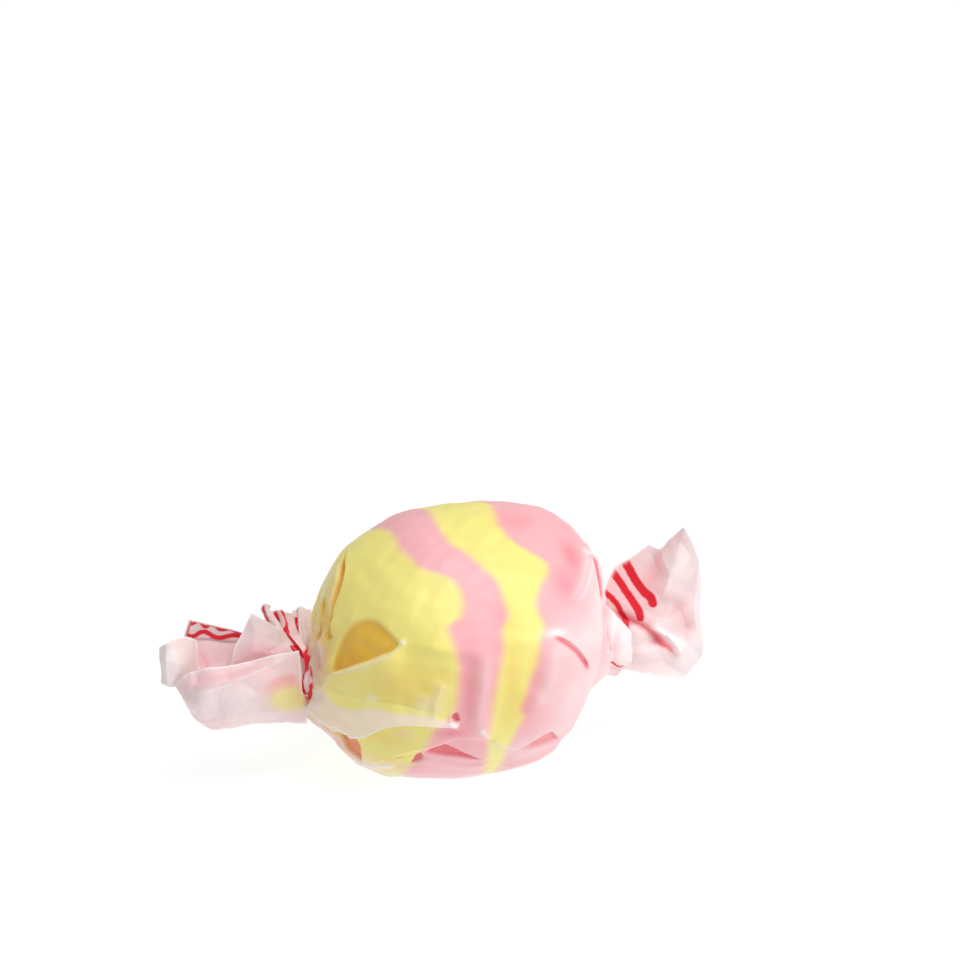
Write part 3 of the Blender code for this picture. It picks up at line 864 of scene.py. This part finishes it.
def lap_sheet(lap, body):
    """Points and masks of a loose lap, from where it leaves the body's sheet to its free edge."""
    steps, rows = LAP_STEPS
    joined, change, free = (even_path(line, steps) for line in (lap.joined, lap.change, lap.free))
    share = np.linspace(0, 1, rows)[:, None]
    first = np.clip(2 * share, 0, 1)[..., None]
    second = np.clip(2 * share - 1, 0, 1)[..., None]
    places = np.radians(joined[None] + (change - joined)[None] * first + (free - change)[None] * second)
    turn, angle = places[..., 0], places[..., 1]
    points, normals = (on_body(values, turn, angle) for values in body[:2])
    masks = {name: on_body(values, turn, angle) for name, values in body[2].items()}
    along = np.linspace(0, 1, steps)[None]
    ends = np.sin(np.pi * np.clip(along, LAP_END, 1 - LAP_END)) ** LAP_END_POWER
    lift = (lap.lift + LAP_ROOT) * ends * share ** LAP_LIFT_POWER - LAP_ROOT
    lift = lift + LAP_RIPPLE[0] * share * ripple(points, *LAP_RIPPLE[1:])
    past_change = share - 0.5 + LAP_CHANGE_RIPPLE[0] * ripple(points, *LAP_CHANGE_RIPPLE[1:])
    milky = lap.white * ease(0.5 + past_change / LAP_CHANGE)
    clean = min(2 * lap.white, 1) * ease(share / LAP_CLEAN)
    masks["white"] = masks["white"] * (1 - LAP_LESS_WHITE * clean) + milky
    masks["pink"] = masks["pink"] + (1 - masks["pink"]) * LAP_PINK * milky
    masks["deep"] = masks["deep"] * (1 - LAP_LESS_PAINTED_SHADE * clean)
    # Painted highlight along the free edge
    masks["rim"] = lap.rim * bell((1 - share) * rows / RIM_HIGHLIGHT_ROWS) * np.ones_like(turn)
    return points + normals * lift[..., None], masks


def net_surface(net, counts):
    """Surface through a net of corners, half straight and half smooth between them."""
    net = np.array(net, float)
    rows = np.stack([net_path(row, counts[1]) for row in net])
    return np.stack([net_path(rows[:, i], counts[0]) for i in range(counts[1])], axis=1)


def net_path(places, count):
    """Samples between a smooth curve and straight lines through places."""
    where = np.linspace(0, len(places) - 1, count)
    known = np.arange(len(places))
    straight = np.stack([np.interp(where, known, places[:, axis]) for axis in range(3)], axis=1)
    return straight * (1 - LEAF_SOFTNESS) + smooth_path(places, count) * LEAF_SOFTNESS


def leaf_line(base, path, count=PATH_STEPS):
    """A path of (u, v) shares on a leaf as points."""
    last = np.array(base.shape[:2]) - 1
    rows, columns = np.clip(np.round(smooth_path(path, count) * last).astype(int), 0, last).T
    return base[rows, columns]


def wave_path(start, end, swings, height):
    """Wavy path between two places."""
    start, end = np.array(start, float), np.array(end, float)
    side = np.array((start[1] - end[1], end[0] - start[0]))
    side /= np.linalg.norm(side)
    share = np.linspace(0, 1, SWING_STEPS * swings + 1)[:, None]
    return start + (end - start) * share + side * height * np.sin(share * swings * math.pi)


def stroke_mask(points, normals, line, width):
    """Mask of a printed stroke along a line."""
    distance = line_field(points, normals, line, width + PRINT_MARGIN)[0]
    return ease(0.5 + (width / 2 - distance) / PRINT_BLUR)


def body_print(base, normals):
    """Print of the paper round the block, which only shows near the necks."""
    mask = np.zeros(base.shape[:-1])
    for *wave, width in BODY_STROKES:
        mask = np.maximum(mask, stroke_mask(base, normals, skin_line(wave_path(*wave)), width))
    return mask


def border_distance(base):
    """Rough distance from each point of a leaf to the leaf's border."""
    distances = []
    for axis, places in enumerate(np.indices(base.shape[:2])):
        step = np.linalg.norm(np.diff(base, axis=axis), axis=-1).mean()
        distances.append(np.minimum(places, base.shape[axis] - 1 - places) * step)
    return np.minimum(*distances)


def leaf_net(name):
    """Corners of a leaf's net as points, to a tenth of a millimetre."""
    net = LEAVES[name]
    if net is NECK_CLUSTER:
        return np.array(net)
    return np.round([[photo_point(*corner) for corner in row] for row in net], 1)


def leaf_sheet(name, seed):
    """Points and masks of one leaf of a tail."""
    net = leaf_net(name)
    rows = np.linalg.norm(np.diff(net, axis=0), axis=-1).sum(axis=0).max()
    columns = np.linalg.norm(np.diff(net, axis=1), axis=-1).sum(axis=1).max()
    counts = [max(int(length / LEAF_STEP), LEAF_LEAST_STEPS) for length in (rows, columns)]
    base = net_surface(net, counts)
    normals = grid_normals(base, wraps=False)
    u, v = np.meshgrid(np.linspace(0, 1, counts[0]), np.linspace(0, 1, counts[1]), indexing="ij")
    number, depth = LEAF_PLEATS.get(name, (0, 0.0))
    sway = LEAF_PLEAT_SWAY[0] * ripple(base, LEAF_PLEAT_SWAY[1], seed + 3)
    height = depth * np.abs(np.sin(math.pi * number * v + sway))
    for index, (tall, size) in enumerate(LEAF_CREASES):
        height = height + tall * creases(base, size, seed + index)
    white = LEAF_WHITE + LEAF_WHITE_RIPPLE[0] * ripple(base, LEAF_WHITE_RIPPLE[1], seed + 2)
    deep = np.zeros_like(u)
    pink = np.ones_like(u)
    # Folds add painted highlights and painted shade
    for fold in LEAF_FOLDS.get(name, ()):
        change = fold_relief(base, normals, fold, leaf_line(base, fold.path))
        height = height + change[0]
        white = white + change[1] - change[2]
        deep = deep + LEAF_PAINTED_SHADE * change[2]
    for spot_u, spot_v, along, across, strength, tint in LEAF_SPOTS.get(name, ()):
        shape = np.clip(SPOT_FLATNESS * bell((u - spot_u) / along) * bell((v - spot_v) / across), 0, 1)
        white = white - strength * shape
        pink = pink + (tint - pink) * np.clip(SPOT_TINT * shape, 0, 1)
    printed = np.zeros_like(u)
    for *wave, width in LEAF_STROKES.get(name, ()):
        line = leaf_line(base, wave_path(*wave), STROKE_STEPS)
        printed = np.maximum(printed, stroke_mask(base, normals, line, width))
    # Painted highlight along the leaf's border
    rim = LEAF_RIM_HIGHLIGHT_STRENGTH.get(name, LEAF_RIM_HIGHLIGHT_USUAL) * bell(border_distance(base) / LEAF_RIM_HIGHLIGHT_WIDTH)
    points = base + normals * (height - LEAF_SINK)[..., None]
    # Painted grey shade over the whole leaf
    painted_grey_shade = np.full_like(u, LEAF_PAINTED_GREY_SHADES.get(name, 0.0))
    return points, {"pink": pink, "white": white, "deep": deep, "print": printed, "rim": rim, "painted_grey_shade": painted_grey_shade}


def add_object(name, data):
    """New object in the scene."""
    made = bpy.data.objects.new(name, data)
    bpy.context.scene.collection.objects.link(made)
    return made


def make_sheet(name, sheet, material, wraps=False, thickness=0.0):
    """Object from a grid of points, with the masks as attributes."""
    points, masks = sheet
    rows, columns = points.shape[:2]
    index = np.arange(rows * columns).reshape(rows, columns)
    if wraps:
        index = np.concatenate((index, index[:, :1]), axis=1)
    corners = np.stack((index[:-1, :-1], index[1:, :-1], index[1:, 1:], index[:-1, 1:]), axis=-1)
    mesh = bpy.data.meshes.new(name)
    mesh.from_pydata((points.reshape(-1, 3) * MM + MIDDLE).tolist(), [], corners.reshape(-1, 4).tolist())
    for mask, values in masks.items():
        layer = mesh.attributes.new(mask, "FLOAT", "POINT")
        layer.data.foreach_set("value", np.clip(values, 0, 1).astype(np.float32).ravel())
    mesh.materials.append(material)
    mesh.shade_smooth()
    made = add_object(name, mesh)
    if thickness:
        wall = made.modifiers.new("wall", "SOLIDIFY")
        wall.thickness = thickness * MM
        wall.offset = 0
    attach(made, BODY)
    return made


def new_material(name):
    """Empty node material with a Principled shader."""
    material = bpy.data.materials.new(name)
    material.use_nodes = True
    return material, material.node_tree, material.node_tree.nodes["Principled BSDF"]


def attribute(tree, name):
    """Output of a mask."""
    node = tree.nodes.new("ShaderNodeAttribute")
    node.attribute_name = name
    return node.outputs["Fac"]


def set_inputs(node, values):
    """Gives a node's inputs their values by name."""
    for name, value in values.items():
        node.inputs[name].default_value = value


def blend_colour(tree, share, first, second):
    """Mix of two colours, each given as a value or as a socket."""
    node = tree.nodes.new("ShaderNodeMix")
    node.data_type = "RGBA"
    for name, value in (("Factor", share), ("A", first), ("B", second)):
        socket = node.inputs[name]
        if isinstance(value, bpy.types.NodeSocket):
            tree.links.new(value, socket)
        else:
            socket.default_value = value
    return node.outputs["Result"]


def noise(tree, scale, detail=3.0):
    """Noise over the object's own coordinates, with a scale in features per metre."""
    place = tree.nodes.new("ShaderNodeTexCoord")
    node = tree.nodes.new("ShaderNodeTexNoise")
    set_inputs(node, {"Scale": scale, "Detail": detail})
    tree.links.new(place.outputs["Object"], node.inputs["Vector"])
    return node.outputs["Fac"]


def spread(tree, value, low, high):
    """Stretches a value from 0..1 onto low..high."""
    node = tree.nodes.new("ShaderNodeMapRange")
    set_inputs(node, {"To Min": low, "To Max": high})
    tree.links.new(value, node.inputs["Value"])
    return node.outputs["Result"]


def bump(tree, value, distance, before=None):
    """Bump node over a height."""
    node = tree.nodes.new("ShaderNodeBump")
    node.inputs["Distance"].default_value = distance * MM
    tree.links.new(value, node.inputs["Height"])
    if before is not None:
        tree.links.new(before, node.inputs["Normal"])
    return node.outputs["Normal"]


def set_glow(shader, weight, depth):
    """Light that sinks in and comes out again, over a depth in millimetres."""
    glow = {"Weight": weight, "Radius": GLOW_COLOURS, "Scale": depth * MM}
    set_inputs(shader, {"Subsurface " + name: value for name, value in glow.items()})


def paper_material(name, softness):
    """Waxed paper showing the taffy's colours where it lies against it, with painted shade and painted
    highlights.
    """
    material, tree, shader = new_material(name)
    mottle = noise(tree, MOTTLE_NOISE)
    pink = attribute(tree, "pink")
    plain = blend_colour(tree, pink, YELLOW, PINK)
    # Painted warm shade: the taffy's colours as they look in shade, mixed in by its mask
    shaded = blend_colour(tree, pink, PAINTED_SHADE_YELLOW, PAINTED_SHADE_PINK)
    taffy = blend_colour(tree, attribute(tree, "deep"), plain, shaded)
    # Milky paper where it stands off the taffy, together with painted highlights
    milky = blend_colour(tree, attribute(tree, "white"), taffy, MILKY_AND_HIGHLIGHT)
    pale = blend_colour(tree, MOTTLE_SHARE, milky, WHITE)
    mottled = blend_colour(tree, mottle, milky, pale)
    # Painted grey shade
    painted_grey_shaded = blend_colour(tree, attribute(tree, "painted_grey_shade"), mottled, PAINTED_SHADE_MAUVE)
    printed = blend_colour(tree, attribute(tree, "print"), painted_grey_shaded, PRINT_RED)
    # Painted highlight along the rims
    rim_highlighted = blend_colour(tree, attribute(tree, "rim"), printed, RIM_HIGHLIGHT_WHITE)
    tree.links.new(rim_highlighted, shader.inputs["Base Color"])
    tree.links.new(spread(tree, noise(tree, PAPER_NOISE), *PAPER_ROUGHNESS), shader.inputs["Roughness"])
    wrinkles = bump(tree, noise(tree, WRINKLES[0], 2.0), WRINKLES[1])
    grain = bump(tree, noise(tree, GRAIN[0], 2.0), GRAIN[1], wrinkles)
    tree.links.new(grain, shader.inputs["Normal"])
    set_glow(shader, softness, PAPER_GLOW)
    set_inputs(shader, {"Specular IOR Level": 0.35, "Sheen Weight": 0.08, "Sheen Roughness": 0.5})
    return material


def taffy_material():
    """Soft candy in two colours."""
    material, tree, shader = new_material("taffy")
    colour = blend_colour(tree, attribute(tree, "pink"), YELLOW, PINK)
    tree.links.new(colour, shader.inputs["Base Color"])
    tree.links.new(spread(tree, noise(tree, TAFFY_NOISE), *TAFFY_ROUGHNESS), shader.inputs["Roughness"])
    tree.links.new(bump(tree, noise(tree, TAFFY_BUMPS[0]), TAFFY_BUMPS[1]), shader.inputs["Normal"])
    set_glow(shader, TAFFY_SOFTNESS, TAFFY_GLOW)
    return material


def make_taffy(material):
    """The striped block inside the paper."""
    turn, angle = block_grid(TAFFY_RINGS, TAFFY_ROUND)
    along = (np.degrees(turn) - DIMPLE_PLACE[0]) / DIMPLE_SPREAD[0]
    around = (np.degrees(angle_between(angle, 0.0)) - DIMPLE_PLACE[1]) / DIMPLE_SPREAD[1]
    points = block_surface(turn, angle, TAFFY_INSET + DIMPLE_DEPTH * bell(along) * bell(around))
    points[..., 2] = np.maximum(points[..., 2], TAFFY_INSET - REST_DEPTH)
    block = make_sheet("striped_block", (points, {"pink": pink_share(turn, angle)}), material, wraps=True)
    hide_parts("taffy")


def make_paper(clinging, loose):
    """The paper round the block, its laps and the leaves of its tails."""
    body = body_sheet()
    sheets = [make_sheet("skin", with_necks(body), clinging, wraps=True)]
    for lap in LAPS:
        sheets.append(make_sheet(lap.name, lap_sheet(lap, body), loose, thickness=SHEET_WALL))
    for index, name in enumerate(LEAVES):
        leaf = leaf_sheet(name, LEAF_SEED + 5 * index)
        sheets.append(make_sheet(name, leaf, loose, thickness=SHEET_WALL))
    for sheet in sheets:
        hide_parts("wrapper")


def make_floor():
    """Plain floor that is almost white."""
    corners = [(x * FLOOR_REACH, y * FLOOR_REACH, 0) for x, y in ((-1, -1), (1, -1), (1, 1), (-1, 1))]
    mesh = bpy.data.meshes.new("floor")
    mesh.from_pydata(corners, [], [(0, 1, 2, 3)])
    material, _, shader = new_material("floor")
    set_inputs(shader, {"Base Color": FLOOR_GREY, "Roughness": 0.9, "Specular IOR Level": 0.1})
    set_inputs(shader, {"Emission Color": WHITE, "Emission Strength": FLOOR_GLOW})
    mesh.materials.append(material)
    floor = add_object("floor", mesh)
    floor.location.z = -FLOOR_DROP
    floor.visible_diffuse = False


def aim(thing, place, target):
    """Stands a camera or a light at a place and turns it to a target, both in metres."""
    thing.location = place
    thing.rotation_mode = "QUATERNION"
    thing.rotation_quaternion = (Vector(target) - Vector(place)).to_track_quat("-Z", "Y")


def make_camera():
    """Camera at the photograph's angle, aimed so that the block lies low in the picture."""
    back, right, up = view_directions()
    aside = (IMAGE_SIZE / 2 - MIDDLE_PIXEL[0]) / PIXELS_PER_MM
    above = (MIDDLE_PIXEL[1] - IMAGE_SIZE / 2) / PIXELS_PER_MM
    target = MIDDLE + (right * aside + up * above) * MM
    data = bpy.data.cameras.new("camera")
    data.sensor_width = SENSOR
    data.lens = SENSOR * PIXELS_PER_MM * VIEW_DISTANCE / IMAGE_SIZE
    data.clip_start = 0.01
    camera = add_object("camera", data)
    aim(camera, MIDDLE + back * VIEW_DISTANCE * MM, target)
    bpy.context.scene.camera = camera


def make_light(name, place, size, power):
    """Square area light aimed at the block, with place and size in metres."""
    data = bpy.data.lights.new(name, "AREA")
    data.size = size
    data.energy = power
    aim(add_object(name, data), place, MIDDLE)


def make_light_tent():
    """White surroundings that are brighter below, and the lights."""
    scene = bpy.context.scene
    world = bpy.data.worlds.new("white_room")
    world.use_nodes = True
    tree = world.node_tree
    background = tree.nodes["Background"]
    background.inputs["Color"].default_value = WHITE
    direction = tree.nodes.new("ShaderNodeTexCoord")
    parts = tree.nodes.new("ShaderNodeSeparateXYZ")
    fade = tree.nodes.new("ShaderNodeMapRange")
    set_inputs(fade, {"From Min": WORLD_FADE[0], "From Max": WORLD_FADE[1]})
    set_inputs(fade, {"To Min": WORLD_BELOW, "To Max": WORLD_ABOVE})
    tree.links.new(direction.outputs["Generated"], parts.inputs["Vector"])
    tree.links.new(parts.outputs["Z"], fade.inputs["Value"])
    tree.links.new(fade.outputs["Result"], background.inputs["Strength"])
    scene.world = world
    for name, light in LIGHTS.items():
        make_light(name, *light)
    scene.view_settings.view_transform = "Standard"
    scene.view_settings.exposure = 0.0


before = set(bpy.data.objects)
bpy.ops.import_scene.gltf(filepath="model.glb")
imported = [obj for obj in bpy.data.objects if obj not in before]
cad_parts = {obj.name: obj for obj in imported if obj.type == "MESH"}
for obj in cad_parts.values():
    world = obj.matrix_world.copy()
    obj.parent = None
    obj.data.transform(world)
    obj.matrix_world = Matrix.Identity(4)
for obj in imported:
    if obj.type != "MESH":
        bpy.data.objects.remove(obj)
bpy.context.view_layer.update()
wrapper_low, wrapper_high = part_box("wrapper")
MIDDLE = np.array((wrapper_low.x + LEFT_REACH * MM, (wrapper_low.y + wrapper_high.y) / 2, REST_DEPTH * MM))

make_camera()
make_light_tent()
make_floor()
make_taffy(taffy_material())
make_paper(paper_material("clinging_paper", CLINGING_SOFTNESS), paper_material("loose_paper", 0.0))
